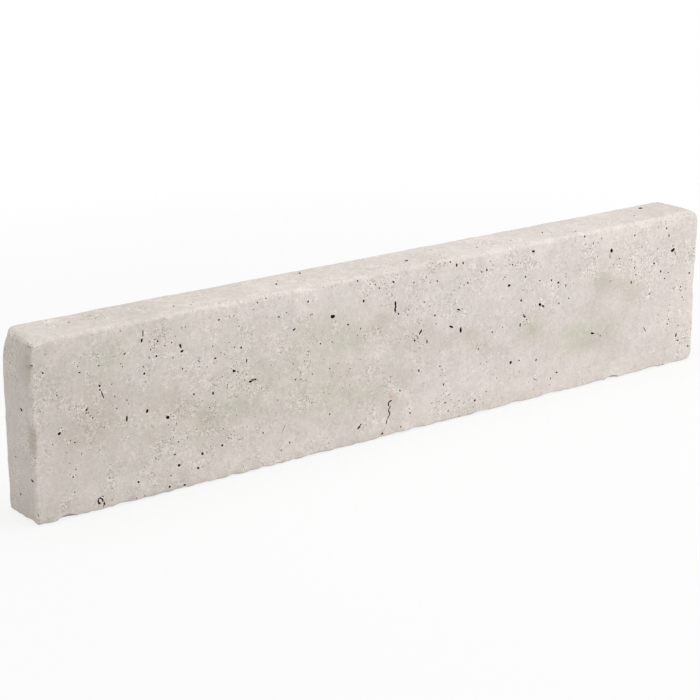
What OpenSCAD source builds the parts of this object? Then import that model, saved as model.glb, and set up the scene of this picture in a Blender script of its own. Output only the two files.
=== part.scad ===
// Travertine kerb: one block of stone, sawn to size and tumbled, that stands on its long narrow bed.
// The origin is on the bed at the middle of the block: +X runs along it, +Y to the back, +Z up.

/* [Block] */
// Length, end to end
length = 1000; // [400:10:1500]
// Thickness, front face to back face
thickness = 70; // [50:1:150]
// Height, bed to top
height = 210; // [150:1:350]

/* [Long arrises] */
// Rounding of the front top arris
front_top_round = 6; // [3:0.5:16]
// Rounding of the back top arris
back_top_round = 5; // [3:0.5:16]
// Rounding of the front arris along the bed
front_bed_round = 4; // [2:0.5:12]
// Rounding of the back arris along the bed
back_bed_round = 5; // [2:0.5:12]

/* [Upright arrises] */
// Rounding of the front left arris
front_left_round = 4; // [2:0.5:16]
// Rounding of the back left arris
back_left_round = 6; // [2:0.5:16]
// Rounding of the front right arris
front_right_round = 7; // [2:0.5:16]
// Rounding of the back right arris
back_right_round = 6; // [2:0.5:16]

/* [Arrises across the ends] */
// Rounding where the top meets the left end
left_top_round = 6; // [3:0.5:30]
// Rounding where the top meets the right end
right_top_round = 15; // [3:0.5:40]
// Rounding where the bed meets the left end
left_bed_round = 5; // [2:0.5:30]
// Rounding where the bed meets the right end
right_bed_round = 10; // [2:0.5:30]

/* [Broken corner] */
// Reach of the break along the length, at the back top left corner
break_along = 14; // [6:1:40]
// Reach of the break across the thickness
break_across = 22; // [6:1:40]
// Reach of the break down the height
break_down = 32; // [6:1:60]

/* [Pits] */
// Depth of a pit as a share of its width
pit_depth = 0.7; // [0.4:0.05:1.2]

/* [Hidden] */
stone_colour = [0.82, 0.79, 0.75];
facets = 48;
// how far a cutting solid stands past the face it cuts
over = 5;
// the least distance from the middle of a pit to an arris
rim = 6;

// Chips out of the arrises, each [place along the arris, its length, its depth].
// Places are measured from the left end, or up from the bed on an upright arris.
front_bed_chips = [
    [38, 26, 5], [470, 24, 1.5], [556, 16, 1.5], [736, 28, 2], [850, 26, 4], [960, 30, 1.5],
];
front_top_chips = [[12, 30, 3], [328, 30, 1.5], [505, 18, 1.5], [704, 16, 1.5], [835, 34, 1.5]];
back_top_chips = [[62, 34, 2], [300, 24, 1.5], [590, 30, 1.5], [940, 20, 2]];
back_bed_chips = [[70, 32, 3], [410, 30, 4], [800, 26, 5]];
front_left_chips = [[102, 34, 3], [183, 12, 2], [202, 16, 3]];
back_left_chips = [[40, 30, 2], [120, 34, 3]];
front_right_chips = [[125, 24, 2]];
back_right_chips = [[35, 30, 3], [150, 26, 3]];

// Pits, each [place across, height, long way, short way, lean of the long way], as one looks at the face:
// across from its left side and up from its lower one. On the top, up runs back from the front face,
// and the bed is looked at from below with the front face uppermost.
front_pits = [
    [32, 101, 4, 3, 0], [115, 101, 6, 2.5, 95], [141, 104, 4, 3, 90], [167, 91, 5, 3.5, 170],
    [180, 31, 4, 3, 0], [187, 168, 8, 3, 100], [138, 191, 14, 2, 84], [86, 136, 7, 1.5, 105],
    [78, 13, 6, 2, 120], [81, 17, 4, 2, 20], [83, 8, 4, 2, 100], [83, 145, 3, 3, 0], [139, 148, 3, 3, 0],
    [155, 165, 4, 2, 80], [127, 23, 4, 2, 150],
    [273, 137, 5, 2.5, 90], [256, 128, 5, 3, 160], [281, 112, 9, 3.5, 175], [227, 107, 4, 3, 90],
    [211, 38, 4, 3.5, 0], [339, 162, 5, 2.5, 20], [394, 168, 6, 5, 0], [205, 22, 4, 3, 0],
    [231, 148, 3, 3, 0], [238, 42, 3.5, 3.5, 0], [359, 192, 4, 2, 20],
    [439, 179, 4, 3, 90], [486, 163, 14, 3, 92], [478, 46, 5, 2, 40], [478, 34, 18, 2, 90],
    [476, 22, 8, 2, 72], [432, 22, 6, 3, 40], [525, 125, 7, 3, 50], [535, 111, 6, 2, 90],
    [573, 123, 7, 3, 155], [588, 116, 7, 4, 95], [584, 143, 6, 2.5, 155], [523, 76, 5, 3.5, 90],
    [580, 200, 5, 3, 90], [483, 195, 3, 3, 0], [547, 142, 3, 3, 0], [516, 116, 4, 2, 0],
    [598, 175, 4, 2.5, 0], [592, 201, 4, 3, 0], [562, 51, 3, 2, 0],
    [704, 198, 6, 3, 165], [665, 160, 5, 3.5, 0], [692, 115, 5, 2.5, 150], [685, 105, 6, 2.5, 95],
    [748, 150, 4, 3, 0], [761, 144, 5, 2, 90], [720, 125, 8, 6, 165], [671, 58, 5, 4, 20],
    [713, 27, 11, 1.5, 150], [628, 186, 3, 3, 0], [692, 167, 4, 2.5, 0], [686, 137, 5, 2.5, 0],
    [736, 155, 4, 2.5, 0], [714, 53, 3, 3, 0], [750, 29, 3, 3, 0], [613, 19, 3, 3, 0],
    [791, 203, 3, 3, 0],
    [839, 178, 6, 5, 90], [953, 162, 8, 7, 120], [959, 153, 9, 3, 125], [836, 169, 8, 2, 95],
    [877, 129, 5, 2.5, 90], [931, 135, 4, 3, 90], [811, 71, 7, 3, 165], [906, 59, 10, 1.5, 125],
    [966, 40, 6, 3, 80], [970, 32, 6, 2, 0], [990, 20, 4, 2.5, 0], [938, 193, 3, 3, 0],
    [943, 182, 5, 2, 0], [882, 148, 4, 2, 0], [918, 148, 4, 2.5, 0], [985, 124, 3, 3, 0],
];
left_pits = [[46, 128, 6, 3, 165], [25, 68, 5, 3, 160], [33, 27, 4, 3, 0], [63, 52, 6, 3, 165]];
right_pits = [
    [22, 158, 5, 3, 90], [48, 136, 4, 3, 30], [26, 76, 7, 3, 95], [52, 52, 5, 4, 160], [17, 37, 4, 3, 80],
    [43, 178, 5, 3, 60], [12, 116, 4, 2, 90],
];
top_pits = [
    [70, 40, 4, 2.5, 0], [194, 26, 4, 2, 60], [337, 33, 6, 3, 55], [345, 43, 4, 2, 20], [387, 56, 6, 3, 60],
    [522, 26, 7, 5, 40], [631, 24, 5, 2, 60], [747, 33, 8, 2, 60], [783, 10, 5, 2.5, 20],
    [904, 28, 7, 2, 30], [940, 53, 9, 6, 30],
];
bed_pits = [
    [46, 30, 5, 3, 20], [122, 48, 6, 3, 150], [190, 18, 4, 3, 60], [268, 39, 5, 4, 90], [343, 25, 8, 3, 10],
    [402, 52, 4, 3, 0], [456, 20, 5, 3, 120], [545, 46, 7, 3, 170], [611, 28, 5, 3, 40],
    [684, 50, 4, 3, 90], [745, 22, 6, 4, 15], [812, 38, 5, 3, 140], [879, 54, 4, 3, 60],
    [938, 26, 6, 3, 100],
];
back_pits = [
    [28, 150, 5, 3, 80], [33, 131, 8, 3, 100], [61, 62, 4, 3, 20], [75, 188, 6, 3, 95],
    [98, 104, 5, 4, 150], [104, 92, 4, 3, 60], [131, 33, 7, 3, 85], [147, 171, 5, 3, 110], [162, 76, 10, 2, 95],
    [188, 139, 4, 3, 30], [203, 52, 6, 5, 160], [211, 118, 5, 3, 90], [236, 187, 5, 3, 70],
    [248, 24, 4, 3, 0], [262, 96, 9, 4, 175], [287, 158, 4, 3, 90], [301, 68, 6, 3, 100],
    [322, 128, 5, 4, 30], [338, 181, 12, 3, 88], [357, 43, 5, 3, 150], [379, 108, 4, 3, 90],
    [396, 152, 7, 3, 75], [411, 84, 4, 3, 120], [433, 28, 6, 3, 60], [452, 174, 5, 3, 90],
    [468, 130, 6, 4, 165], [497, 61, 8, 2, 95], [512, 148, 4, 3, 0], [531, 193, 5, 3, 100],
    [547, 38, 5, 3, 20], [566, 101, 9, 5, 150], [583, 163, 4, 3, 90], [604, 72, 5, 3, 80],
    [629, 133, 6, 3, 105], [641, 20, 4, 3, 45], [655, 186, 7, 3, 90], [678, 96, 5, 4, 170],
    [696, 49, 6, 3, 95], [713, 155, 11, 2, 84], [742, 117, 4, 3, 60], [759, 80, 5, 3, 140],
    [771, 182, 4, 3, 90], [794, 30, 7, 4, 30], [808, 141, 5, 3, 100], [831, 99, 6, 3, 90],
    [847, 61, 4, 3, 15], [862, 170, 8, 6, 120], [870, 156, 5, 3, 130], [893, 120, 5, 3, 85],
    [914, 40, 4, 3, 0], [927, 88, 9, 3, 95], [948, 187, 5, 3, 60], [961, 137, 6, 4, 100],
    [979, 69, 4, 3, 90],
];

function dish_radius(width, depth) = (pow(width / 2, 2) + depth * depth) / (2 * depth);
// how far a rounded arris lies inside the sharp one, along the diagonal
function set_back(round) = round * (sqrt(2) - 1);
function fits(row, u, v) = row[0] > rim && row[0] < u - rim && row[1] > rim && row[1] < v - rim;

// A rectangle from [0, 0] to size. Its roundings start at the lower left corner and run round to the right.
module rounded_outline(size, rounds) {
    corners = [[0, 0], [size[0], 0], size, [0, size[1]]];
    difference() {
        square(size);
        for (i = [0 : 3]) translate(corners[i]) rotate(90 * i) difference() {
            translate([-over, -over]) square(over + rounds[i]);
            translate([rounds[i], rounds[i]]) circle(rounds[i], $fn = facets);
        }
    }
}

// The sawn block with all its arrises rounded: what its section, its plan and its front outline share.
module block() intersection() {
    section_rounds = [front_bed_round, back_bed_round, back_top_round, front_top_round];
    plan_rounds = [front_left_round, front_right_round, back_right_round, back_left_round];
    outline_rounds = [left_bed_round, right_bed_round, right_top_round, left_top_round];
    translate([-length / 2, -thickness / 2, 0]) rotate([90, 0, 90]) linear_extrude(length)
        rounded_outline([thickness, height], section_rounds);
    translate([-length / 2, -thickness / 2, 0]) linear_extrude(height)
        rounded_outline([length, thickness], plan_rounds);
    translate([-length / 2, thickness / 2, 0]) rotate([90, 0, 0]) linear_extrude(thickness)
        rounded_outline([length, height], outline_rounds);
}

// What the break takes off the back top left corner: all that lies past one slanting plane.
module corner_break() {
    slope = [-1 / break_along, 1 / break_across, 1 / break_down];
    depth = 1 / norm(slope);
    normal = slope * depth;
    side = 4 * max(break_along, break_across, break_down);
    translate([-length / 2, thickness / 2, height])
        rotate([0, acos(normal[2]), atan2(normal[1], normal[0])])
            translate([-side / 2, -side / 2, -depth]) cube(side);
}

// Balls that bite into an arris of the given rounding, which starts at the origin and runs along +X.
// The stone lies behind it, on the side of -Y and -Z.
module chips(rows, run, round) for (row = rows) if (row[0] < run) {
    radius = dish_radius(row[1], row[2]);
    out = (radius - row[2] - set_back(round)) / sqrt(2);
    translate([row[0], out, out]) sphere(radius, $fn = facets);
}

module long_chips() translate([-length / 2, 0, 0]) {
    translate([0, thickness / 2, height]) chips(back_top_chips, length, back_top_round);
    translate([0, -thickness / 2, height]) rotate([90, 0, 0])
        chips(front_top_chips, length, front_top_round);
    translate([0, -thickness / 2, 0]) rotate([180, 0, 0]) chips(front_bed_chips, length, front_bed_round);
    translate([0, thickness / 2, 0]) rotate([-90, 0, 0]) chips(back_bed_chips, length, back_bed_round);
}

// rotate([0, -90, 0]) stands an arris up; the turn about Z points its outer side at the right corner
module upright_chips() {
    translate([-length / 2, thickness / 2, 0]) rotate([0, -90, 0])
        chips(back_left_chips, height, back_left_round);
    translate([-length / 2, -thickness / 2, 0]) rotate([0, 0, 90]) rotate([0, -90, 0])
        chips(front_left_chips, height, front_left_round);
    translate([length / 2, -thickness / 2, 0]) rotate([0, 0, 180]) rotate([0, -90, 0])
        chips(front_right_chips, height, front_right_round);
    translate([length / 2, thickness / 2, 0]) rotate([0, 0, -90]) rotate([0, -90, 0])
        chips(back_right_chips, height, back_right_round);
}

// One pit in a face that lies at z = 0: a ball, or a bar with ball ends, sunk to its depth.
module pit(long_way, short_way, lean) {
    depth = short_way * pit_depth;
    radius = dish_radius(short_way, depth);
    reach = (long_way - short_way) / 2;
    rotate(lean) translate([0, 0, radius - depth]) {
        if (reach > 0.25) {
            for (side = [-1, 1]) translate([side * reach, 0, 0]) sphere(radius, $fn = facets);
            rotate([0, 90, 0]) cylinder(h = 2 * reach, r = radius, center = true, $fn = facets);
        } else sphere(radius, $fn = facets);
    }
}

// The pits of a face of u by v, whose lower left corner is the origin.
module pits(rows, u, v) for (row = rows) if (fits(row, u, v))
    translate([row[0], row[1], 0]) pit(row[2], row[3], row[4]);

module front_face_pits() translate([-length / 2, -thickness / 2, 0]) rotate([90, 0, 0])
    pits(front_pits, length, height);

module back_face_pits() translate([length / 2, thickness / 2, 0]) rotate([90, 0, 180])
    pits(back_pits, length, height);

module left_end_pits() translate([-length / 2, thickness / 2, 0]) rotate([90, 0, -90])
    pits(left_pits, thickness, height);

module right_end_pits() translate([length / 2, -thickness / 2, 0]) rotate([90, 0, 90])
    pits(right_pits, thickness, height);

module top_face_pits() translate([-length / 2, -thickness / 2, height])
    pits(top_pits, length, thickness);

module bed_face_pits() translate([-length / 2, thickness / 2, 0]) rotate([180, 0, 0])
    pits(bed_pits, length, thickness);

module kerb_stone() color(stone_colour) difference() {
    block();
    corner_break();
    long_chips();
    upright_chips();
    front_face_pits();
    back_face_pits();
    left_end_pits();
    right_end_pits();
    top_face_pits();
    bed_face_pits();
}

kerb_stone();
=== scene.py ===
import math
import random

import bmesh
import bpy
import numpy as np
from mathutils import Matrix, Vector, noise


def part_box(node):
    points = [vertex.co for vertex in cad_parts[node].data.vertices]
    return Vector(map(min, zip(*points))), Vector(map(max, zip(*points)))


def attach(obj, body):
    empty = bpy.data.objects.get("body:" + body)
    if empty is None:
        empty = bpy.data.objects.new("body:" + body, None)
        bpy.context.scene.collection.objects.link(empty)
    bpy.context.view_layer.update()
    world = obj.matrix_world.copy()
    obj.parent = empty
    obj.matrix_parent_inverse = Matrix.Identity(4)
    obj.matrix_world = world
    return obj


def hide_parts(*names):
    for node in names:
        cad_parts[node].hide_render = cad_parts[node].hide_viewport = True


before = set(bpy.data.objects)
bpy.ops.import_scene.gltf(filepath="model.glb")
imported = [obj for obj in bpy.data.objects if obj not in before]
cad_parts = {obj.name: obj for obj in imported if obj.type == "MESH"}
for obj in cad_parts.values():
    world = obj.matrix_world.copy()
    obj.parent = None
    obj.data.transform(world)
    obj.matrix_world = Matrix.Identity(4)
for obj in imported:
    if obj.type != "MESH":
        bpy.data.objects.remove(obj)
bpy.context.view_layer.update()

# ---------------------------------------------------------------------------------------------
# The kerb stone: one block of travertine, sawn on six sides and tumbled, so that its arrises are
# worn round and chipped. The saw has opened the gas holes of the stone as dark pits.
# ---------------------------------------------------------------------------------------------
MM = 0.001
stone_low, stone_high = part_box("kerb_stone")
stone_size = stone_high - stone_low
stone_middle = (stone_low + stone_high) / 2

# The sawn block, cut into a net that is fine along the arrises and coarser on the faces.
net_step = 5.5 * MM
arris_lines = [depth * MM for depth in (0.5, 1.2, 2.0, 3.0, 4.2, 5.8, 7.8, 10.5, 14.0, 18.5)]


def net_lines(low, high):
    """Where the net crosses one side of the block, from low to high."""
    first, last = low + arris_lines[-1], high - arris_lines[-1]
    count = max(1, round((last - first) / net_step))
    across = [first + (last - first) * i / count for i in range(1, count)]
    return [low + depth for depth in arris_lines] + across + [high - depth for depth in arris_lines]


block = bmesh.new()
bmesh.ops.create_cube(block, size=1)
bmesh.ops.scale(block, vec=stone_size, verts=block.verts)
bmesh.ops.translate(block, vec=stone_middle, verts=block.verts)
for axis in (1, 2, 0):
    plane_way = Vector([float(i == axis) for i in range(3)])
    for place in net_lines(stone_low[axis], stone_high[axis]):
        bmesh.ops.bisect_plane(
            block, geom=block.verts[:] + block.edges[:] + block.faces[:], dist=1e-6,
            plane_co=plane_way * place, plane_no=plane_way,
        )

# The rounding of each arris and the deepest wear on it, in mm. A key names the two faces that meet.
arrises = {
    "front top": (6, 1.6), "back top": (4.5, 0.8), "front bed": (4, 3.2), "back bed": (5, 3.2),
    "left front": (4, 1.2), "left back": (6, 1.0), "right front": (7, 2.0), "right back": (6, 2.6),
    "left top": (6, 1.2), "right top": (15, 1.6), "left bed": (5, 2.6), "right bed": (10, 2.4),
}
side_names = (("left", "right"), ("front", "back"), ("bed", "top"))
arris_number = {name: number for number, name in enumerate(arrises)}


def arris_name(first, second, high):
    """The arris between a face across axis first and one across axis second."""
    return side_names[first][high[0]] + " " + side_names[second][high[1]]


swell_length, swell_share = 40 * MM, 0.35      # a radius swells and narrows along its arris


def round_arrises(point):
    """Where a point of the sharp block lies once its arrises are round, each with its own swell."""
    place = point.copy()
    for along, first, second in ((0, 1, 2), (2, 0, 1), (1, 0, 2)):
        high = [place[axis] > stone_middle[axis] for axis in (first, second)]
        name = arris_name(first, second, high)
        swell = noise.noise(Vector((point[along] / swell_length, 9.7 * arris_number[name], 0)))
        radius = arrises[name][0] * MM * (1 + swell_share * swell)
        sides = [(axis, 1 if up else -1) for axis, up in zip((first, second), high)]
        faces = [stone_high[axis] if side > 0 else stone_low[axis] for axis, side in sides]
        depths = [radius - (face - place[axis]) * side for (axis, side), face in zip(sides, faces)]
        if min(depths) <= 0:
            continue
        shrink = max(depths) / math.hypot(*depths)
        for (axis, side), face, depth in zip(sides, faces, depths):
            place[axis] = face - side * (radius - depth * shrink)
    return place


# Tumbling wears the stone most along the arrises, and leaves slow, slight waves on the faces.
wear_reach = 14 * MM
face_wave, face_wave_length = 0.6 * MM, 75 * MM
rough_length = 22 * MM
fine_wear, fine_length = 0.12 * MM, 7 * MM


def arris_wear(point):
    """The deepest wear at a point of the sharp block, which dies out wear_reach from each arris."""
    deepest = 0.0
    for first, second in ((1, 2), (0, 1), (0, 2)):
        high = [point[axis] > stone_middle[axis] for axis in (first, second)]
        gaps = [min(point[i] - stone_low[i], stone_high[i] - point[i]) for i in (first, second)]
        near = max(0.0, 1 - math.hypot(*gaps) / wear_reach)
        deepest = max(deepest, near ** 1.5 * arrises[arris_name(first, second, high)][1] * MM)
    return deepest


# The back top left corner is broken off along a slanting plane.
break_reach = Vector((14, 22, 32)) * MM
break_corner = Vector((stone_low.x, stone_high.y, stone_high.z))
break_slope = Vector((-1 / break_reach.x, 1 / break_reach.y, 1 / break_reach.z))
break_depth = 1 / break_slope.length
break_way = break_slope.normalized()
break_softness = 4 * MM
break_dent, break_dent_length = 1.2 * MM, 8 * MM

wears = [arris_wear(vert.co) for vert in block.verts]
for vert in block.verts:
    vert.co = round_arrises(vert.co)
bmesh.ops.recalc_face_normals(block, faces=block.faces)
block.normal_update()
worn_places = []
for vert, wear in zip(block.verts, wears):
    slow = 0.5 + 0.5 * noise.noise(vert.co / face_wave_length)
    rough = noise.fractal(vert.co / rough_length, 0.8, 2.1, 4)
    worn = face_wave * slow + wear * max(0.0, 0.25 + rough)
    worn += (fine_wear + 0.06 * wear) * (1 + noise.noise(vert.co / fine_length))
    worn_places.append(vert.co - vert.normal * max(0.0, worn))
for vert, place in zip(block.verts, worn_places):
    past = (place - break_corner).dot(break_way) + break_depth
    past = (past + math.hypot(past, break_softness)) / 2
    if past > 0.02 * MM:
        uneven = min(1.0, past / break_softness) * break_dent
        uneven *= 1 + noise.noise(place / break_dent_length)
        place = place - break_way * (past * 0.92 + uneven)
    vert.co = place

stone_mesh = bpy.data.meshes.new("travertine_kerb")
block.to_mesh(stone_mesh)
block.free()
kerb = bpy.data.objects.new("travertine_kerb", stone_mesh)
bpy.context.scene.collection.objects.link(kerb)

# What is cut out of the block: lumps, each a dented ball that is stretched, turned and put in place.
# A face frame lays a flat layout on a face, right and up as one looks at the face.
upright = Matrix.Rotation(math.pi / 2, 4, "X")
face_frames = {
    "front": Matrix.Translation(stone_low) @ upright,
    "back": Matrix.Translation((stone_high.x, stone_high.y, stone_low.z))
    @ Matrix.Rotation(math.pi, 4, "Z") @ upright,
    "left": Matrix.Translation((stone_low.x, stone_high.y, stone_low.z))
    @ Matrix.Rotation(-math.pi / 2, 4, "Z") @ upright,
    "right": Matrix.Translation((stone_high.x, stone_low.y, stone_low.z))
    @ Matrix.Rotation(math.pi / 2, 4, "Z") @ upright,
    "top": Matrix.Translation((stone_low.x, stone_low.y, stone_high.z)),
    "bed": Matrix.Translation((stone_low.x, stone_high.y, stone_low.z)) @ Matrix.Rotation(math.pi, 4, "X"),
}
lumps = []
pit_dent, chip_dent = 0.35, 0.5      # how uneven the lumps are: a share of a pit's size, and mm on a chip


def pit(face, across, up, long_way, short_way=None, lean=0, depth=0.9):
    """Puts a pit in a face: places and sizes in mm, lean in degrees, depth as a share of its width."""
    short_way = short_way or long_way
    deep = short_way * depth
    shape = (
        face_frames[face]
        @ Matrix.Translation(Vector((across, up, -0.15 * deep)) * MM)
        @ Matrix.Rotation(math.radians(lean), 4, "Z")
        @ Matrix.Diagonal((long_way / 2 * MM, short_way / 2 * MM, deep * MM, 1))
    )
    detail = 3 if long_way > 3.4 else 2 if long_way > 1.9 else 1
    lumps.append((shape, max(long_way, 2 * deep) / 2 * MM, detail, pit_dent, 1))


def chip(start, along, outward, place, run, depth, name):
    """Bites a chip out of an arris, as a ball that cuts run mm of it to depth mm."""
    radius = (run * run / 4 + depth * depth) / (2 * depth)
    set_back = arrises[name][0] * (math.sqrt(2) - 1)
    centre = start + (along * place + outward.normalized() * (radius - depth - set_back)) * MM
    shape = Matrix.Translation(centre) @ Matrix.Diagonal((radius * MM,) * 3 + (1,))
    lumps.append((shape, radius * MM, 4 if radius < 20 else 5, chip_dent / radius, 0))


# Chips, each place along the arris, length and depth: from the left end, or up from the bed.
arris_chips = {
    "front bed": [
        (38, 26, 5), (4, 14, 2), (470, 24, 1.5), (556, 16, 1.5), (736, 28, 2), (850, 26, 4), (960, 30, 1.5),
    ],
    "front top": [(12, 30, 2), (328, 30, 1.5), (505, 18, 1.5), (704, 16, 1.5), (835, 34, 1.5)],
    "back top": [(62, 34, 2), (300, 24, 1.5), (590, 30, 1.5), (940, 20, 2)],
    "back bed": [(70, 32, 3), (410, 30, 4), (800, 26, 5)],
    "left front": [(102, 34, 2), (183, 12, 1.5), (202, 16, 2)],
    "left back": [(3, 24, 3), (40, 30, 2), (120, 34, 3)],
    "right front": [(125, 24, 2)],
    "right back": [(35, 30, 3), (150, 26, 3)],
}
for name, rows in arris_chips.items():
    first, second = name.split()
    ends = Vector((
        stone_high.x if first == "right" else stone_low.x,
        stone_high.y if "back" in name else stone_low.y,
        stone_high.z if second == "top" else stone_low.z,
    ))
    outward = Vector((0, 1 if "back" in name else -1, 0))
    if second in ("top", "bed"):
        along, outward.z = Vector((1, 0, 0)), 1 if second == "top" else -2
    else:
        along, outward.x = Vector((0, 0, 1)), 1 if first == "right" else -1
    for row in rows:
        chip(ends, along, outward, *row, name)

# The pits that stand out, each face as one looks at it: from its left side, above its lower side, long way,
# short way, lean and, where it isn't the usual one, depth.
front_pits = [
    (32, 101, 4.5, 3.2, 20), (115, 100.5, 7.5, 2.8, 84), (141, 104, 4.5, 3.5, 90), (167, 91, 5, 4, 165),
    (180, 31, 4.5, 3.5, 0, 0.5), (186, 171, 6, 2.8, 108), (188, 164.5, 4.5, 3, 20),
    (138.8, 194, 9, 1.7, 88), (137.2, 186.5, 5, 2.8, 80), (86, 134.5, 11, 1.8, 110),
    (83.3, 140.5, 2.8, 2.2, 100), (76.6, 10, 5, 2.8, 130), (75.4, 13, 4, 2.4, 95),
    (77.2, 15.6, 4, 2.2, 25), (80, 14.2, 4, 2.2, 145), (81, 11.8, 3, 2.6, 90), (83, 8.2, 4.5, 2.4, 100),
    (81.9, 5.6, 3.6, 1.8, 70, 0.5), (81.5, 16.9, 3.2, 1.8, 160, 0.6), (273, 137, 5, 2, 85),
    (256, 128, 5.5, 3, 160), (261, 126, 3, 1.8, 150), (277.5, 111, 4.5, 3, 170),
    (281, 112.5, 6, 3.6, 5, 0.3), (284.5, 112.5, 3.5, 2.6, 20, 0.7), (227, 107, 4, 2.6, 90),
    (211, 38, 4, 3.5, 0), (339, 162, 5, 2.5, 20), (394, 168, 6, 5, 0), (439, 179, 4, 3, 90),
    (486.3, 167.6, 6.5, 3, 91, 1.3), (486.5, 163.4, 6, 2.8, 84, 1.3), (486, 159.2, 6, 3, 97, 1.3),
    (479.2, 45.6, 5, 2.6, 25), (476.8, 42, 6, 2.2, 100), (478.3, 37.4, 5, 2, 60), (477, 33.6, 5, 2, 110),
    (478.6, 30, 5.5, 2.2, 85), (476.2, 25.6, 5.5, 2, 60), (473.9, 20.4, 7, 1.8, 78),
    (467.4, 6.4, 4, 2.6, 20), (470.5, 11.5, 5, 1.2, 75, 0.5), (432, 22, 6, 3, 40), (525, 125, 7, 3, 50),
    (535, 111, 6, 2, 90), (573, 123, 7, 3, 155), (588, 116, 7, 4, 95), (584, 143, 6, 2.5, 155),
    (523, 76, 4.5, 3, 90, 0.4), (580, 200, 5, 3, 90), (704, 198, 6, 3, 165), (665, 160, 5, 3.5, 0),
    (692, 115, 5, 2.5, 150), (685, 105, 6, 2.5, 95), (748, 150, 4, 3, 0), (761, 144, 5, 2, 90),
    (718, 126, 5.5, 4.5, 165, 0.8), (723, 123, 5, 3, 150, 0.7), (671, 58, 5, 4, 20, 0.5),
    (713, 27, 11, 1.5, 150, 0.6), (839, 178, 6, 5, 90), (836.5, 171, 8, 1.5, 95),
    (952, 161, 7, 5, 15, 0.5), (952, 166.8, 5, 1.8, 5, 0.6), (956.5, 155.5, 8, 2.6, 118, 0.25),
    (960.5, 149, 7, 1.8, 110, 0.25), (877, 129, 5, 2.5, 90), (931, 135, 4, 3, 90), (811, 71, 7, 3, 165),
    (906, 59, 10, 1.5, 125), (966, 40, 6, 3, 80), (970, 32, 6, 2, 0), (990, 20, 4, 2.5, 0),
    (2, 203.5, 4, 1.8, 5, 1.1), (2.8, 183, 4, 1.8, 15, 1), (689, 150, 8, 1, 5, 0.8),
    (839, 137, 6, 1.2, 10, 0.8), (322, 43, 15, 1, 60, 0.6), (982, 33, 18, 1, 2, 0.6),
    (20, 193, 5, 1.2, 5, 0.5),
]
left_pits = [(46, 128, 6, 3, 165), (25, 68, 5, 3, 160, 0.3), (63, 52, 6, 3, 165), (33, 27, 4, 3, 0, 0.4)]
top_pits = [
    (70, 40, 4, 2.5, 0), (194, 26, 4, 2, 60), (337, 33, 6, 3, 55), (345, 43, 4, 2, 20),
    (386, 56, 6, 3, 60), (522, 26, 7, 5, 40, 0.5), (631, 24, 5, 2, 60), (747, 33, 8, 2, 60),
    (783, 10, 5, 2.5, 20), (904, 28, 7, 2, 30, 0.6), (940, 53, 9, 6, 30, 0.5),
]
right_pits = [
    (22, 158, 5, 3, 90), (48, 136, 4, 3, 30), (26, 76, 7, 3, 95), (52, 52, 5, 4, 160), (17, 37, 4, 3, 80),
    (43, 178, 5, 3, 60), (12, 116, 4, 2, 90),
]
bed_pits = [
    (46, 30, 5, 3, 20), (122, 48, 6, 3, 150), (190, 18, 4, 3, 60), (268, 39, 5, 4, 90),
    (343, 25, 8, 3, 10), (402, 52, 4, 3, 0), (456, 20, 5, 3, 120), (545, 46, 7, 3, 170),
    (611, 28, 5, 3, 40), (684, 50, 4, 3, 90), (745, 22, 6, 4, 15), (812, 38, 5, 3, 140),
    (879, 54, 4, 3, 60), (938, 26, 6, 3, 100),
]
back_pits = [
    (28, 150, 5, 3, 80), (33, 131, 8, 3, 100), (61, 62, 4, 3, 20), (75, 188, 6, 3, 95),
    (98, 104, 5, 4, 150), (104, 92, 4, 3, 60), (131, 33, 7, 3, 85), (147, 171, 5, 3, 110),
    (162, 76, 10, 2, 95), (188, 139, 4, 3, 30), (203, 52, 6, 5, 160), (211, 118, 5, 3, 90),
    (236, 187, 5, 3, 70), (248, 24, 4, 3, 0), (262, 96, 9, 4, 175), (287, 158, 4, 3, 90),
    (301, 68, 6, 3, 100), (322, 128, 5, 4, 30), (338, 181, 12, 3, 88), (357, 43, 5, 3, 150),
    (379, 108, 4, 3, 90), (396, 152, 7, 3, 75), (411, 84, 4, 3, 120), (433, 28, 6, 3, 60),
    (452, 174, 5, 3, 90), (468, 130, 6, 4, 165), (497, 61, 8, 2, 95), (512, 148, 4, 3, 0),
    (531, 193, 5, 3, 100), (547, 38, 5, 3, 20), (566, 101, 9, 5, 150), (583, 163, 4, 3, 90),
    (604, 72, 5, 3, 80), (629, 133, 6, 3, 105), (641, 20, 4, 3, 45), (655, 186, 7, 3, 90),
    (678, 96, 5, 4, 170), (696, 49, 6, 3, 95), (713, 155, 11, 2, 84), (742, 117, 4, 3, 60),
    (759, 80, 5, 3, 140), (771, 182, 4, 3, 90), (794, 30, 7, 4, 30), (808, 141, 5, 3, 100),
    (831, 99, 6, 3, 90), (847, 61, 4, 3, 15), (862, 170, 8, 6, 120), (870, 156, 5, 3, 130),
    (893, 120, 5, 3, 85), (914, 40, 4, 3, 0), (927, 88, 9, 3, 95), (948, 187, 5, 3, 60),
    (961, 137, 6, 4, 100), (979, 69, 4, 3, 90),
]
face_pits = {
    "front": front_pits, "back": back_pits, "left": left_pits, "right": right_pits, "top": top_pits,
    "bed": bed_pits,
}
for face, rows in face_pits.items():
    for row in rows:
        pit(face, *row)

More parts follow.
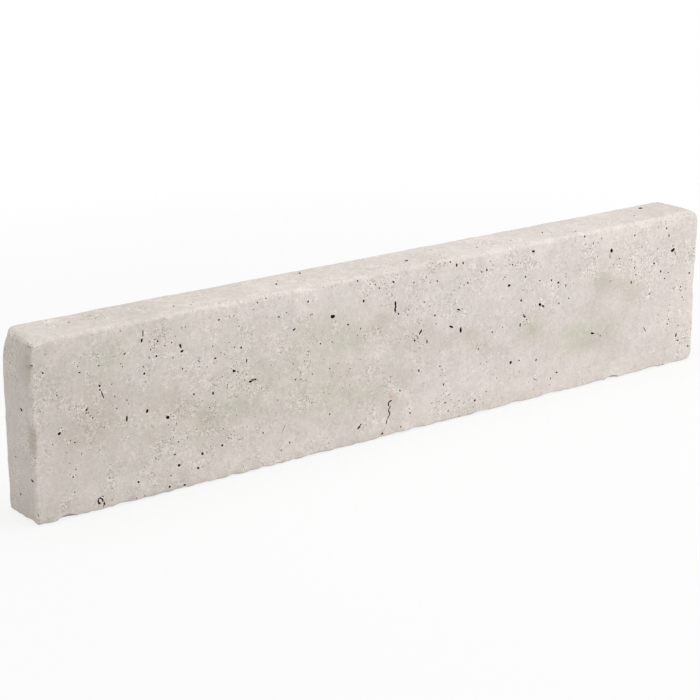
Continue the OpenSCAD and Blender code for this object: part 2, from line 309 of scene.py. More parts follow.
# Smaller pits of the front: from the left end, above the bed, width.
front_small = [
    (16, 173, 2.5), (59, 165, 2.5), (83, 168, 2.2), (31, 145, 2), (83, 145, 3), (98, 144, 2),
    (66, 121, 3), (68.5, 117, 2), (70.5, 114, 1.8), (73, 110.5, 2.2), (76, 107.5, 1.6), (35, 107, 1.8),
    (36, 104, 1.5), (168, 82, 1.8), (175, 76, 1.8), (180, 59, 2.2), (175, 45, 2.5), (169, 21, 2.2),
    (167, 8, 3), (187, 5, 3.5), (188, 144, 2.2), (175, 177, 2), (155, 165, 2.8), (157, 182, 2.6),
    (148, 174, 2), (166, 175, 2), (138, 156, 2), (139, 148, 3), (115, 175, 2.5), (117, 206, 2),
    (116, 122, 2), (118, 117, 1.7), (101, 129, 2), (103, 115, 2), (50, 87, 2.2), (46, 48, 2.4),
    (47, 30, 2), (89, 41, 1.7), (127, 23, 3), (202, 111, 2.6), (205, 22, 3.4), (237, 192, 2.4),
    (289, 203, 2.2), (301, 206, 2.6), (231, 148, 3), (250, 163, 1.7), (257, 156, 2), (266, 154, 2.8),
    (259, 122, 1.5), (222, 91, 2), (211, 77, 1.8), (204, 69, 1.8), (250, 48, 1.8), (262, 44, 2),
    (238, 42, 3.3), (294, 45, 2.4), (315, 81, 2), (318, 181, 2.6), (329, 184, 2), (359, 192, 2.8),
    (382, 206, 2.4), (376, 138, 2.5), (393, 137, 2.2), (337, 121, 2), (340, 101, 2.5), (364, 103, 2),
    (389, 105, 2), (363, 68, 2), (331, 25, 2.4), (319, 18, 2.2), (389, 48, 2.4), (430, 205, 2.6),
    (456, 196, 2.2), (462, 191, 2.5), (483, 195, 3), (489, 203, 1.8), (514, 189, 2.5), (491, 154, 3),
    (416, 154, 2.8), (505, 150, 2), (530, 162, 2.2), (533, 193, 2), (539, 185, 1.8), (550, 185, 2.6),
    (547, 142, 3), (549, 131, 2), (516, 116, 3.2), (520, 120, 2), (524, 105, 2), (598, 175, 3),
    (592, 173, 2), (590, 201, 3.2), (570, 206, 2.8), (554, 206, 2), (556, 75, 2.5), (480, 77, 2),
    (479, 70, 1.8), (494, 56, 2.5), (435, 25, 2.5), (510, 24, 2.6), (496, 9, 2.4), (562, 51, 2.6),
    (570, 14, 2.4), (555, 30, 1.8), (565, 26, 2.6), (620, 185, 2.5), (628, 186, 3), (638, 191, 1.8),
    (634, 196, 2), (670, 186, 2.5), (692, 167, 3), (686, 137, 3.2), (696, 110, 2.4), (639, 104, 2.4),
    (617, 86, 2.5), (716, 158, 2.5), (736, 155, 3), (748, 144, 2), (750, 122, 2.8), (767, 126, 2.5),
    (685, 58, 2.6), (714, 53, 3.2), (750, 29, 3), (740, 23, 2.5), (613, 19, 3.2), (631, 27, 2),
    (791, 204, 3), (806, 193, 2.5), (843, 159, 2), (854, 165, 2.5), (880, 192, 2.8), (900, 206, 2),
    (938, 193, 3), (943, 182, 3.2), (923, 167, 2), (882, 148, 2.8), (885, 138, 2.6), (918, 148, 3.2),
    (945, 131, 2.5), (939, 124, 2.5), (985, 124, 3.2), (970, 107, 2.8), (971, 102, 2.5), (974, 92, 2.5),
    (951, 85, 1.8), (912, 107, 2.5), (820, 68, 2), (825, 65, 2.6), (930, 75, 2), (950, 65, 2.4),
    (948, 59, 2.8), (969, 53, 2.2), (111, 202, 1.8), (112, 161, 1.7), (174, 66, 1.8), (210, 148, 1.8),
    (210, 142, 1.5), (228, 163, 2), (257, 193, 1.8), (283, 196, 1.8), (217, 80, 1.7), (254, 56, 1.8),
    (265, 58, 1.6), (240, 125, 1.8), (272, 121, 1.8), (353, 121, 1.8), (381, 118, 1.6), (380, 77, 1.8),
    (284, 67, 1.6), (317, 107, 1.7), (518, 155, 1.8), (539, 155, 2), (586, 176, 1.8), (419, 99, 1.8),
    (444, 92, 1.6), (408, 77, 1.8), (544, 30, 1.8), (665, 187, 1.8), (658, 172, 2.2), (661, 174, 1.6),
    (655, 170, 1.7), (655, 145, 1.8), (604, 143, 1.7), (656, 107, 1.8), (710, 127, 1.7), (621, 66, 1.8),
    (648, 42, 1.8),
]
chance = random.Random(5)
for across, up, width in front_small:
    stretch = chance.uniform(1.0, 1.5)
    pit("front", across, up, width * stretch ** 0.5, width / stretch ** 0.5, chance.uniform(0, 180), 0.8)

# Crowds of pin holes on the front: middle from the left end, middle above the bed, spread each way, count.
pin_crowds = [
    (155, 182, 9, 11, 14), (176, 68, 5, 22, 14), (42, 90, 8, 6, 8), (66, 116, 5, 8, 6),
    (238, 148, 9, 11, 10), (82, 12, 8, 5, 6), (278, 113, 8, 5, 8), (464, 192, 9, 6, 9),
    (528, 124, 10, 10, 14), (566, 38, 7, 9, 12), (392, 100, 6, 12, 8), (628, 188, 10, 6, 14),
    (690, 108, 6, 9, 10), (738, 150, 16, 6, 14), (722, 124, 8, 5, 6), (884, 156, 14, 16, 14),
    (936, 190, 9, 9, 10), (974, 106, 6, 9, 9), (956, 64, 7, 8, 7), (800, 180, 20, 16, 8),
    (590, 176, 10, 6, 8), (330, 190, 20, 8, 8), (220, 40, 22, 12, 8), (640, 60, 30, 20, 8),
    (100, 160, 20, 18, 8),
]
for across, up, spread, rise, count in pin_crowds:
    for _ in range(count):
        width = chance.uniform(1.1, 1.8)
        hole_across, hole_up = chance.gauss(across, spread), chance.gauss(up, rise)
        pit("front", hole_across, hole_up, width * 1.2, width, chance.uniform(0, 180), 0.6)

# Pits by chance: in the sawn stone they string out along the bedding, in loose near-upright rows.
face_spans = {
    "front": (stone_size.x, stone_size.z), "back": (stone_size.x, stone_size.z),
    "left": (stone_size.y, stone_size.z), "right": (stone_size.y, stone_size.z),
    "top": (stone_size.x, stone_size.y), "bed": (stone_size.x, stone_size.y),
}


def strings_of_pits(face, strings, pits_each, smallest, largest, depth):
    """Strings of pits over a face: widths in mm, with most of the pits near the smallest one."""
    span, rise = (side / MM for side in face_spans[face])
    for _ in range(strings):
        across, up = chance.uniform(4, span - 4), chance.uniform(4, rise - 4)
        for _ in range(chance.randint(1, pits_each)):
            width = smallest + (largest - smallest) * chance.random() ** 3
            if 2 < across < span - 2 and 2 < up < rise - 2:
                stretch = chance.uniform(1.0, 2.2)
                lean = chance.gauss(95, 35)
                pit(face, across, up, width * stretch ** 0.5, width / stretch ** 0.5, lean, depth)
            across += chance.gauss(0, 6)
            up += chance.gauss(0, 14)


strings_of_pits("front", 80, 5, 1.2, 2.2, 0.6)
strings_of_pits("back", 80, 6, 1.3, 3.4, 0.7)
strings_of_pits("left", 6, 4, 1.3, 2.4, 0.4)
strings_of_pits("right", 8, 5, 1.3, 3.2, 0.7)
strings_of_pits("top", 30, 4, 1.3, 2.6, 0.5)
strings_of_pits("bed", 22, 5, 1.4, 3.4, 0.7)

# The lumps are cut out in batches, so that no two lumps of a batch touch.
batches = []
for lump in lumps:
    middle = lump[0].to_translation()
    for batch in batches:
        if all((middle - other).length > (lump[1] + size) * 1.5 for other, size in batch["taken"]):
            break
    else:
        batch = {"taken": [], "lumps": []}
        batches.append(batch)
    batch["taken"].append((middle, lump[1]))
    batch["lumps"].append(lump)

travertine = bpy.data.materials.new("travertine")
pit_lining = bpy.data.materials.new("pit_lining")
for material in (travertine, pit_lining):
    stone_mesh.materials.append(material)
bpy.context.view_layer.objects.active = kerb
for batch in batches:
    cutter_shape = bmesh.new()
    for shape, size, detail, roughness, lining in batch["lumps"]:
        made = bmesh.ops.create_icosphere(cutter_shape, subdivisions=detail, radius=1)
        shift = shape.to_translation() * 900
        pitch = 1.3 if lining else size / (5 * MM)
        for vert in made["verts"]:
            dent = noise.noise(vert.co * pitch + shift) + 0.4 * noise.noise(vert.co * pitch * 2.7 - shift)
            vert.co = shape @ (vert.co * (1 + roughness * dent))
        for face in {face for vert in made["verts"] for face in vert.link_faces}:
            face.material_index = lining
    cutter_mesh = bpy.data.meshes.new("cutter")
    cutter_shape.to_mesh(cutter_mesh)
    cutter_shape.free()
    for material in (travertine, pit_lining):
        cutter_mesh.materials.append(material)
    cutter = bpy.data.objects.new("cutter", cutter_mesh)
    bpy.context.scene.collection.objects.link(cutter)
    cut = kerb.modifiers.new("cut", "BOOLEAN")
    cut.operation = "DIFFERENCE"
    cut.solver = "MANIFOLD"
    cut.object = cutter
    bpy.ops.object.modifier_apply(modifier=cut.name)
    bpy.data.objects.remove(cutter)
    bpy.data.meshes.remove(cutter_mesh)

# Faces are smooth, with a crisp rim round each pit and chip.
rim_angle = math.radians(38)
finished = bmesh.new()
finished.from_mesh(stone_mesh)
bmesh.ops.dissolve_degenerate(finished, dist=1e-6, edges=finished.edges)
for face in finished.faces:
    face.smooth = True
for edge in finished.edges:
    edge.smooth = len(edge.link_faces) == 2 and edge.calc_face_angle() < rim_angle
finished.to_mesh(stone_mesh)
finished.free()

# What the stone's looks follow, held on its points: pit depth, wear of the arrises, clouds, openness, rust.
points = np.empty(len(stone_mesh.vertices) * 3, np.float32)
stone_mesh.vertices.foreach_get("co", points)
points = points.reshape(-1, 3) / MM
low, high = np.array(stone_low) / MM, np.array(stone_high) / MM
gaps = np.sort(np.minimum(points - low, high - points), axis=1)
pit_depth = np.clip(gaps[:, 0], 0, None)
worn = np.clip(1 - np.hypot(gaps[:, 0], gaps[:, 1]) / 13, 0, 1)

lined, plain = (
    {corner for face in stone_mesh.polygons if face.material_index == number for corner in face.vertices}
    for number in (1, 0)
)
pit_rim = np.zeros(len(points))
pit_rim[list(lined & plain)] = 1
# Where the stone changes colour, and where it is more open or closed: each place from the left end, above the
# bed, half width, half height and strength.
khaki_clouds = [
    (95, 176, 26, 16, 0.6), (255, 84, 26, 16, 0.8), (218, 84, 14, 14, 0.4), (300, 104, 24, 16, 0.7),
    (369, 158, 20, 14, 0.6), (415, 139, 26, 18, 0.9), (390, 88, 24, 16, 0.6), (405, 62, 60, 14, 0.8),
    (345, 80, 20, 20, 0.2), (350, 110, 18, 16, 0.5), (705, 97, 18, 19, 1.1), (776, 77, 22, 15, 1.0),
    (806, 74, 26, 15, 0.8), (845, 79, 22, 15, 0.8), (825, 140, 24, 18, 0.5), (880, 116, 22, 18, 0.4),
    (858, 160, 22, 18, 0.4), (775, 54, 30, 12, 0.4), (560, 200, 30, 12, 0.3), (20, 150, 20, 40, 0.3),
    (180, 195, 60, 12, 0.2), (735, 60, 20, 12, 0.2),
]
earthy_clouds = [
    (64, 98, 32, 26, 0.55), (84, 135, 30, 24, 0.35), (28, 150, 24, 26, 0.2), (30, 60, 40, 30, 0.25),
    (100, 110, 24, 20, 0.2), (150, 74, 14, 12, 0.3), (150, 118, 16, 12, 0.25), (176, 106, 14, 12, 0.5),
    (215, 78, 12, 14, 0.75), (237, 128, 14, 12, 0.3), (300, 108, 14, 14, 0.2), (390, 84, 12, 16, 0.45),
    (383, 150, 12, 10, 0.3), (468, 150, 16, 12, 0.75), (450, 64, 18, 14, 0.3), (520, 124, 24, 14, 0.5),
    (600, 106, 20, 12, 0.6), (562, 104, 16, 14, 0.3), (808, 106, 20, 12, 0.4), (850, 52, 16, 10, 0.25),
    (625, 88, 20, 8, 0.4), (655, 76, 14, 8, 0.3), (705, 96, 12, 12, 0.3), (548, 206, 12, 4, 0.6),
    (540, 205, 60, 5, 0.3), (825, 139, 18, 12, 0.55), (858, 130, 16, 10, 0.3), (880, 112, 16, 18, 0.45),
    (810, 60, 40, 10, 0.25), (745, 70, 12, 8, 0.3), (596, 10, 10, 6, 0.4), (88, 80, 26, 12, 0.35),
    (142, 100, 14, 12, 0.3), (186, 88, 20, 12, 0.35), (523, 98, 14, 10, 0.35), (493, 68, 14, 10, 0.3),
    (848, 126, 22, 14, 0.3), (800, 56, 30, 10, 0.3),
]
cool_clouds = [
    (120, 34, 60, 24, 0.7), (135, 137, 26, 22, 0.5), (211, 160, 26, 20, 0.6), (276, 168, 30, 18, 0.6),
    (250, 40, 60, 14, 0.2), (345, 180, 40, 16, 0.2), (471, 92, 24, 20, 0.6), (600, 140, 16, 16, 0.5),
    (686, 176, 16, 16, 0.5), (560, 150, 20, 20, 0.3), (570, 8, 70, 10, 0.4), (148, 156, 24, 14, 0.5),
    (141, 98, 14, 12, 0.5), (367, 116, 18, 10, 0.4), (556, 176, 16, 18, 0.5), (752, 130, 30, 14, 0.5),
    (790, 56, 40, 14, 0.5), (60, 84, 30, 16, 0.4),
]
pink_clouds = [
    (790, 110, 240, 150, 1.2), (560, 170, 120, 50, 0.9), (330, 194, 150, 16, 0.9), (560, 50, 80, 40, 0.7),
    (400, 22, 90, 20, 0.9), (300, 28, 60, 20, 0.6),
]
# Pale places: paler stone, and in the long bands along the top of the front a painted highlight of that
# arris.
pale_and_highlight_clouds = [
    (330, 207, 140, 12, 0.4), (620, 207, 160, 14, 0.5), (880, 206, 110, 16, 0.8), (860, 4, 120, 14, 0.6),
    (340, 20, 110, 22, 0.4), (486, 172, 14, 10, 0.4), (170, 30, 60, 16, 0.2), (20, 10, 30, 16, 0.4),
    (450, 4, 500, 8, 0.3), (250, 186, 70, 18, 0.35), (470, 184, 50, 16, 0.3), (276, 158, 24, 16, 0.3),
    (475, 156, 24, 16, 0.2), (390, 88, 120, 18, 0.2), (478, 92, 26, 16, 0.25), (320, 55, 110, 18, 0.3),
    (225, 22, 70, 18, 0.4), (445, 22, 50, 18, 0.35),
]
dusky_clouds = [
    (780, 105, 70, 30, 0.9), (870, 60, 40, 40, 0.9), (870, 180, 26, 30, 1.0), (975, 60, 30, 60, 0.7),
    (50, 105, 70, 40, 0.6), (640, 95, 60, 40, 0.4),
]
open_places = [
    (227, 187, 22, 16, 0.5), (20, 154, 24, 16, 0.5), (276, 154, 20, 14, 0.4), (540, 154, 36, 16, 0.5),
    (900, 154, 50, 18, 0.7), (985, 152, 20, 18, 0.5), (177, 55, 24, 18, 0.5), (975, 22, 22, 16, 0.4),
]
closed_places = [
    (276, 187, 22, 14, 0.8), (425, 187, 24, 16, 0.7), (872, 190, 24, 14, 0.6), (975, 190, 26, 16, 1.0),
    (185, 121, 30, 16, 0.9), (640, 121, 40, 16, 0.6), (773, 121, 32, 20, 1.0), (975, 118, 24, 16, 0.5),
    (425, 88, 26, 18, 0.8), (28, 50, 26, 24, 0.8), (524, 22, 26, 16, 0.8), (326, 22, 24, 14, 0.5),
    (800, 65, 110, 45, 0.8), (850, 22, 70, 26, 0.7),
]
# The spalls along the left front arris face away from the light; they are darkened with painted shade.
shaded_spall_places = [
    (1, 104, 5, 14, 1.0), (2, 88, 4, 9, 0.7), (1, 191, 2, 7, 0.7), (2, 181, 3, 4, 0.9),
    (2, 203.5, 3.5, 2.5, 1.1), (1, 171, 1.2, 10, 0.6),
]
rust_stains = [
    (482, 52, 3.5, 4.5, 1.1), (484, 44, 2.5, 6, 0.7), (477, 32, 2.4, 14, 0.5), (81, 11, 6, 6, 0.35),
    (467, 6, 4, 3, 0.3),
]


def clouds(rows, reach):
    """How strongly each point lies in the clouds, which run reach mm into the stone from the front."""
    total = np.zeros(len(points))
    for across, up, half_width, half_height, strength in rows:
        away = ((points[:, 0] - low[0] - across) / half_width) ** 2
        away += ((points[:, 2] - low[2] - up) / half_height) ** 2
        away += ((points[:, 1] - low[1]) / reach) ** 2
        total += strength * np.exp(-away)
    return np.clip(total, 0, 1.2)


for name, values in (
    ("pit_depth", pit_depth), ("pit_rim", pit_rim), ("worn", worn),
    ("pink", clouds(pink_clouds, 200)), ("pale_and_highlight", clouds(pale_and_highlight_clouds, 4)),
    ("dusky", clouds(dusky_clouds, 30)), ("open", clouds(open_places, 30) - clouds(closed_places, 30)),
    ("khaki", clouds(khaki_clouds, 60)), ("earthy", clouds(earthy_clouds, 30)),
    ("cool", clouds(cool_clouds, 30)), ("spall_shade", clouds(shaded_spall_places, 12)),
    ("rust", clouds(rust_stains, 6)),
):
    held = stone_mesh.attributes.new(name, "FLOAT", "POINT")
    held.data.foreach_set("value", values.astype(np.float32))


def linear(red, green, blue):
    """A colour as a painter reads it, 0 to 255, in the shader's own terms."""
    parts = [part / 255 for part in (red, green, blue)]
    return [part / 12.92 if part < 0.04045 else ((part + 0.055) / 1.055) ** 2.4 for part in parts] + [1]


class StoneFinish:
    """The shader of a stone surface, built node by node."""

    def __init__(self, material):
        material.use_nodes = True
        self.tree = material.node_tree
        self.shader = self.tree.nodes["Principled BSDF"]
        self.place = self.add("ShaderNodeTexCoord").outputs["Object"]

    def add(self, kind, **settings):
        node = self.tree.nodes.new(kind)
        for name, value in settings.items():
            setattr(node, name, value)
        return node

    def feed(self, socket, value):
        if isinstance(value, bpy.types.NodeSocket):
            self.tree.links.new(value, socket)
        else:
            socket.default_value = value

    def blotches(self, size, detail=2, roughness=0.5, stretch=None, distortion=0.0):
        """Cloudy noise whose blotches are about size metres across."""
        node = self.add("ShaderNodeTexNoise")
        place = self.place
        if stretch:
            mapping = self.add("ShaderNodeMapping")
            self.feed(mapping.inputs["Vector"], place)
            mapping.inputs["Scale"].default_value = stretch
            place = mapping.outputs[0]
        self.feed(node.inputs["Vector"], place)
        node.inputs["Scale"].default_value = 1 / size
        node.inputs["Detail"].default_value = detail
        node.inputs["Roughness"].default_value = roughness
        node.inputs["Distortion"].default_value = distortion
        return node.outputs[0]

    def fit(self, value, low, high, new_low=0.0, new_high=1.0, smooth=False):
        node = self.add("ShaderNodeMapRange", interpolation_type="SMOOTHSTEP" if smooth else "LINEAR")
        self.feed(node.inputs["Value"], value)
        limits = {"From Min": low, "From Max": high, "To Min": new_low, "To Max": new_high}
        for name, number in limits.items():
            node.inputs[name].default_value = number
        return node.outputs[0]

    def combine(self, operation, first, second, third=None):
        node = self.add("ShaderNodeMath", operation=operation)
        self.feed(node.inputs[0], first)
        self.feed(node.inputs[1], second)
        if third is not None:
            self.feed(node.inputs[2], third)
        return node.outputs[0]

    def mix(self, share, first, second, blend="MIX"):
        node = self.add("ShaderNodeMix", data_type="RGBA", blend_type=blend)
        self.feed(node.inputs[0], share)
        self.feed(node.inputs[6], first)
        self.feed(node.inputs[7], second)
        return node.outputs[2]

    def held(self, name):
        return self.add("ShaderNodeAttribute", attribute_name=name).outputs["Fac"]


stone = StoneFinish(travertine)
plain_stone, pink_stone, cream_stone = linear(209, 202, 193), linear(216, 208, 202), linear(222, 213, 206)
cool_stone, khaki_stone, earthy_stone = linear(203, 198, 191), linear(199, 196, 181), linear(186, 178, 163)
pale_and_highlight_stone, spall_shade_stone, rusty_stone = linear(224, 216, 208), linear(172, 160, 138), linear(186, 148, 112)
crushed_stone, crystal = linear(236, 228, 219), linear(236, 229, 221)
greener, pinker = (0.984, 1.0, 0.984, 1), (1.013, 0.996, 1.018, 1)

drift = stone.blotches(0.17, 2, 0.5)
mottle = stone.blotches(0.06, 4, 0.6)
patch = stone.blotches(0.028, 3, 0.6, distortion=0.6)
bloom = stone.blotches(0.010, 3, 0.6, distortion=1.0)
speckle = stone.blotches(0.0045, 3, 0.65)
grain = stone.blotches(0.0016, 2, 0.6)

# Where the stone is more open, its holes crowd and its grain shows.
openness = stone.fit(stone.blotches(0.035, 3, 0.65, distortion=0.8), 0.45, 0.68, smooth=True)
openness = stone.fit(stone.combine("ADD", openness, stone.held("open")), 0, 1)

# Clouds of pink, cream and cool stone, with khaki and earth-brown ones where they are placed.
pink = stone.combine("MAXIMUM", stone.held("pink"), stone.fit(drift, 0.45, 0.7, 0, 0.7, smooth=True))
colour = stone.mix(pink, plain_stone, pink_stone)
colour = stone.mix(stone.fit(patch, 0.52, 0.72, 0, 0.55, smooth=True), colour, cream_stone)
cool = stone.combine("MULTIPLY", stone.held("cool"), stone.fit(bloom, 0.25, 0.6, 0.55, 1.0))
cool = stone.combine("MAXIMUM", cool, stone.fit(mottle, 0.5, 0.7, 0, 0.35, smooth=True))
colour = stone.mix(cool, colour, cool_stone)
khaki = stone.combine("MULTIPLY", stone.held("khaki"), stone.fit(patch, 0.3, 0.6, 0.5, 1.0))
stray = stone.fit(stone.blotches(0.11, 3, 0.6), 0.56, 0.75, 0, 0.4, smooth=True)
khaki = stone.combine("MAXIMUM", khaki, stone.combine("MULTIPLY", stray, stone.fit(pink, 0.0, 0.7, 1.0, 0.1)))
colour = stone.mix(khaki, colour, khaki_stone)
earthy = stone.combine("MULTIPLY", stone.held("earthy"), stone.fit(bloom, 0.3, 0.65, 0.5, 1.1))
colour = stone.mix(earthy, colour, earthy_stone)

# The arrises are paler, and so are the places held as pale. The spalls by the left front arris are darker
# with painted shade.
# Paler where held as pale, in part a painted highlight along the top of the front, and paler with wear on
# every arris.
pale_and_highlight = stone.combine("MULTIPLY", stone.held("pale_and_highlight"), stone.fit(bloom, 0.3, 0.65, 0.6, 1.2))
pale_and_highlight = stone.combine("MAXIMUM", pale_and_highlight, stone.fit(stone.held("worn"), 0.35, 1.0, 0, 0.35))
colour = stone.mix(pale_and_highlight, colour, pale_and_highlight_stone)
# Painted shade on the spalls by the left front arris, which face away from the light.
spall_shade = stone.combine("MULTIPLY", stone.held("spall_shade"), stone.fit(speckle, 0.3, 0.7, 0.3, 1.2))
colour = stone.mix(stone.fit(spall_shade, 0.15, 0.9, 0, 0.85), colour, spall_shade_stone)

# A slight turn of the hue from blotch to blotch, and crushed, creamy crystals along the arrises.
tint = stone.mix(stone.fit(stone.blotches(0.009, 2, 0.6), 0.3, 0.7), greener, pinker)
colour = stone.mix(1.0, colour, tint, "MULTIPLY")
crushed = stone.combine("MULTIPLY", stone.fit(stone.held("worn"), 0.55, 0.95), stone.fit(speckle, 0.48, 0.66))
colour = stone.mix(stone.fit(crushed, 0, 1, 0, 0.4), colour, crushed_stone)
rusty = stone.combine("MULTIPLY", stone.held("rust"), stone.fit(speckle, 0.35, 0.6, 0.25, 0.75))
colour = stone.mix(rusty, colour, rusty_stone)

# Light and dark: broad and soft everywhere, a little darker in the places held as dusky, and sharp where the
# stone is more open.
tone = stone.fit(mottle, 0.3, 0.7, 0.94, 1.06)
tone = stone.combine("ADD", tone, stone.fit(patch, 0.3, 0.7, -0.035, 0.035))
tone = stone.combine("ADD", tone, stone.fit(drift, 0.35, 0.65, -0.03, 0.03))
tone = stone.combine("ADD", tone, stone.fit(bloom, 0.3, 0.7, -0.055, 0.055))
tone = stone.combine("SUBTRACT", tone, stone.combine("MULTIPLY", stone.held("dusky"), 0.045))
small_tone = stone.fit(speckle, 0.3, 0.7, -0.09, 0.09)
small_tone = stone.combine("ADD", small_tone, stone.fit(grain, 0.3, 0.7, -0.18, 0.18))
sharpness = stone.fit(openness, 0, 1, 0.4, 1.65)
tone = stone.combine("ADD", tone, stone.combine("MULTIPLY", small_tone, sharpness))
colour = stone.mix(1.0, colour, tone, "MULTIPLY")


# Holes and nicks too small to cut, each an uneven blot in a cell of its own, with a pale rim.
# They crowd where the stone is open.
def small_holes(cell, widest, crowding, rest, stretch=(1, 1, 1)):
    """How deep a point lies in a hole and how near its rim: cell in metres, widest as a share of a cell."""
    bend = stone.add("ShaderNodeTexNoise")
    stone.feed(bend.inputs["Vector"], stone.place)
    bend.inputs["Scale"].default_value = 2.2 / cell
    shift = stone.add("ShaderNodeVectorMath", operation="MULTIPLY_ADD")
    stone.feed(shift.inputs[0], bend.outputs["Color"])
    shift.inputs[1].default_value = (0.6 * cell,) * 3
    stone.feed(shift.inputs[2], stone.place)
    scale = stone.add("ShaderNodeVectorMath", operation="MULTIPLY")
    stone.feed(scale.inputs[0], shift.outputs[0])
    scale.inputs[1].default_value = stretch
    cells = stone.add("ShaderNodeTexVoronoi", feature="F1")
    stone.feed(cells.inputs["Vector"], scale.outputs[0])
    cells.inputs["Scale"].default_value = 1 / cell
    lot = stone.add("ShaderNodeSeparateColor")
    stone.feed(lot.inputs[0], cells.outputs["Color"])
    crowd = stone.combine("MULTIPLY_ADD", openness, crowding, lot.outputs[0])
    chosen = stone.fit(crowd, rest, rest + 0.35, 0.0, widest)
    inside = stone.combine("SUBTRACT", chosen, cells.outputs["Distance"])
    hole = stone.fit(inside, 0.0, 0.07)
    outside = stone.combine("MULTIPLY", stone.fit(inside, -0.16, -0.02), stone.fit(chosen, 0.04, 0.12))
    return hole, stone.combine("SUBTRACT", outside, hole)


pin_holes, pin_rims = small_holes(0.0042, 0.29, 0.35, 0.87)
crumbs, crumb_rims = small_holes(0.0026, 0.36, 0.6, 0.98)
nicks, nick_rims = small_holes(0.0075, 0.27, 0.4, 0.86, stretch=(0.7, 1.0, 3.0))
dimples, dimple_rims = small_holes(0.011, 0.20, 0.35, 0.90)
rims = stone.fit(stone.held("pit_rim"), 0.72, 0.96)
for more in (pin_rims, crumb_rims, nick_rims, dimple_rims):
    rims = stone.combine("MAXIMUM", rims, more)
crystals = stone.combine("MULTIPLY", stone.fit(speckle, 0.57, 0.7), stone.fit(openness, 0, 1, 0.2, 0.8))
rims = stone.combine("MAXIMUM", rims, crystals)
colour = stone.mix(stone.combine("MULTIPLY", rims, 0.75), colour, crystal)
colour = stone.mix(stone.combine("MULTIPLY", dimples, 0.45), colour, linear(150, 138, 121))
colour = stone.mix(stone.combine("MULTIPLY", nicks, 0.65), colour, linear(140, 128, 112))
colour = stone.mix(stone.combine("MULTIPLY", crumbs, 0.7), colour, linear(120, 108, 93))
colour = stone.mix(stone.combine("MULTIPLY", pin_holes, 0.82), colour, linear(98, 86, 72))
stone.feed(stone.shader.inputs["Base Color"], colour)
stone.feed(stone.shader.inputs["Roughness"], stone.fit(mottle, 0.3, 0.7, 0.72, 0.88))
stone.shader.inputs["Specular IOR Level"].default_value = 0.35

relief = stone.combine("ADD", stone.combine("MULTIPLY", speckle, 0.5), stone.combine("MULTIPLY", grain, 0.4))
relief = stone.combine("SUBTRACT", stone.combine("MULTIPLY", relief, sharpness), dimples)
relief = stone.combine("SUBTRACT", relief, stone.combine("MULTIPLY", pin_holes, 1.5))
small_marks = stone.combine("ADD", nicks, crumbs)
relief = stone.combine("SUBTRACT", relief, stone.combine("MULTIPLY", small_marks, 0.8))
bump = stone.add("ShaderNodeBump")
bump.inputs["Strength"].default_value = 0.5
bump.inputs["Distance"].default_value = 0.5 * MM
stone.feed(bump.inputs["Height"], relief)
stone.feed(stone.shader.inputs["Normal"], bump.outputs[0])

# The lining of the pits: brown dirt at the mouth, and darker with depth to nearly black within, partly dirt
# and partly painted shade; rusty in the rust stains.
lining = StoneFinish(pit_lining)
crust = lining.blotches(0.002, 3, 0.6)
mouth = lining.mix(crust, linear(176, 165, 150), linear(150, 138, 121))
# The deep colour is dirt darkened further with painted shade.
throat_dirt_and_shade = lining.mix(crust, linear(58, 47, 38), linear(34, 27, 21))
pit_colour = lining.mix(lining.fit(lining.held("pit_depth"), 0.4, 1.8, smooth=True), mouth, throat_dirt_and_shade)
pit_colour = lining.mix(lining.combine("MULTIPLY", lining.held("rust"), 0.6), pit_colour, linear(120, 74, 40))
lining.feed(lining.shader.inputs["Base Color"], pit_colour)
lining.shader.inputs["Roughness"].default_value = 0.9
lining.shader.inputs["Specular IOR Level"].default_value = 0.2

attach(kerb, "root")
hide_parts("kerb_stone")

# ---------------------------------------------------------------------------------------------
# The floor: a plain white studio floor. A camera ray sees it lifted to white, with the shadow kept.
# ---------------------------------------------------------------------------------------------
floor_shape = bmesh.new()
bmesh.ops.create_grid(floor_shape, x_segments=1, y_segments=1, size=40)
floor_mesh = bpy.data.meshes.new("floor")
floor_shape.to_mesh(floor_mesh)
floor_shape.free()
floor = bpy.data.objects.new("floor", floor_mesh)
bpy.context.scene.collection.objects.link(floor)
floor_paint = bpy.data.materials.new("floor_paint")
floor_paint.use_nodes = True
paint_nodes, paint_links = floor_paint.node_tree.nodes, floor_paint.node_tree.links
paint = paint_nodes["Principled BSDF"]
paint.inputs["Base Color"].default_value = (0.85, 0.85, 0.85, 1)
paint.inputs["Roughness"].default_value = 0.95
paint.inputs["Specular IOR Level"].default_value = 0.0
lift = paint_nodes.new("ShaderNodeEmission")
lift.inputs["Color"].default_value = (1, 1, 1, 1)
ray = paint_nodes.new("ShaderNodeLightPath")
where = paint_nodes.new("ShaderNodeTexCoord")
away = paint_nodes.new("ShaderNodeVectorMath")
away.operation = "LENGTH"
paint_links.new(where.outputs["Object"], away.inputs[0])
fade = paint_nodes.new("ShaderNodeMapRange")
fade.interpolation_type = "SMOOTHSTEP"
for name, number in (("From Min", 0.55), ("From Max", 1.5), ("To Min", 0.8), ("To Max", 1.0)):
    fade.inputs[name].default_value = number
paint_links.new(away.outputs["Value"], fade.inputs["Value"])
direct = paint_nodes.new("ShaderNodeMath")
direct.operation = "MAXIMUM"
paint_links.new(ray.outputs["Is Camera Ray"], direct.inputs[0])
paint_links.new(ray.outputs["Is Glossy Ray"], direct.inputs[1])
clear = paint_nodes.new("ShaderNodeMath")
clear.operation = "MAXIMUM"
paint_links.new(direct.outputs[0], clear.inputs[0])
paint_links.new(ray.outputs["Is Transmission Ray"], clear.inputs[1])
seen = paint_nodes.new("ShaderNodeMath")
seen.operation = "MULTIPLY"
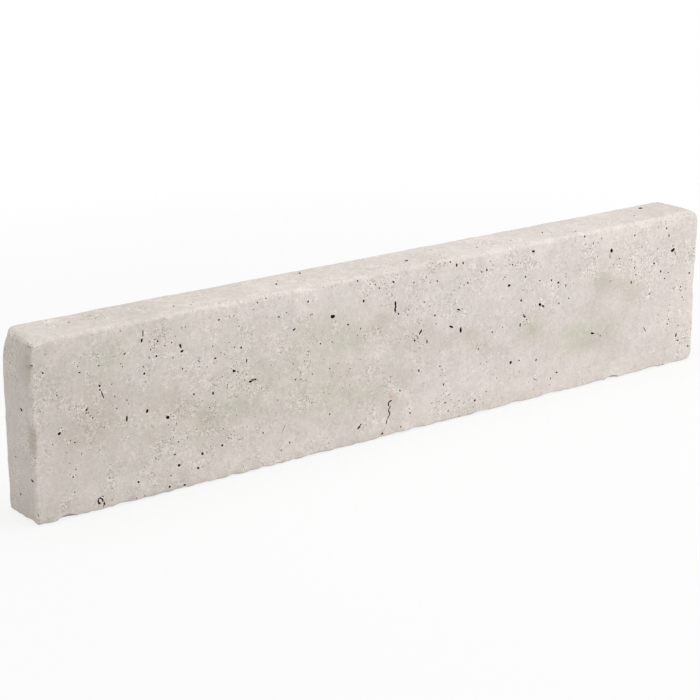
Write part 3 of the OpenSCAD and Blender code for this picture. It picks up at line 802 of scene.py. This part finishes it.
paint_links.new(fade.outputs[0], seen.inputs[0])
paint_links.new(clear.outputs[0], seen.inputs[1])
both = paint_nodes.new("ShaderNodeMixShader")
paint_links.new(seen.outputs[0], both.inputs[0])
paint_links.new(paint.outputs[0], both.inputs[1])
paint_links.new(lift.outputs[0], both.inputs[2])
paint_links.new(both.outputs[0], paint_nodes["Material Output"].inputs["Surface"])
floor_mesh.materials.append(floor_paint)

# ---------------------------------------------------------------------------------------------
# The light: an even white room, a large soft panel overhead and one low in front, towards the right.
# ---------------------------------------------------------------------------------------------
room = bpy.data.worlds.new("room")
room.use_nodes = True
bpy.context.scene.world = room
room.node_tree.nodes["Background"].inputs["Color"].default_value = (1, 1, 1, 1)
room.node_tree.nodes["Background"].inputs["Strength"].default_value = 0.65


def panel(name, place, aim, size, power):
    lamp = bpy.data.lights.new(name, "AREA")
    lamp.size = size
    lamp.energy = power
    holder = bpy.data.objects.new(name, lamp)
    holder.location = place
    holder.rotation_euler = (Vector(aim) - Vector(place)).to_track_quat("-Z", "Y").to_euler()
    bpy.context.scene.collection.objects.link(holder)


panel("overhead_panel", (0.1, -0.1, 1.8), (-0.1, 0, 0.1), 1.6, 14.2)
panel("front_panel", (1.5, -1.5, 0.5), (0.1, 0, 0.1), 1.2, 14.2)

# ---------------------------------------------------------------------------------------------
# The camera: a long lens, from the front left and a little above.
# ---------------------------------------------------------------------------------------------
camera_aim = Vector((-0.0815, -0.035, 0.1224))
camera_distance = 2.298
camera_turn, camera_drop = math.radians(36.267), math.radians(17.732)
look = Vector((
    math.sin(camera_turn) * math.cos(camera_drop),
    math.cos(camera_turn) * math.cos(camera_drop),
    -math.sin(camera_drop),
))
lens = bpy.data.cameras.new("camera")
lens.lens = 100
camera = bpy.data.objects.new("camera", lens)
camera.location = camera_aim - look * camera_distance
camera.rotation_euler = (math.pi / 2 - camera_drop, 0, -camera_turn)
bpy.context.scene.collection.objects.link(camera)
bpy.context.scene.camera = camera
bpy.context.scene.view_settings.view_transform = "Standard"
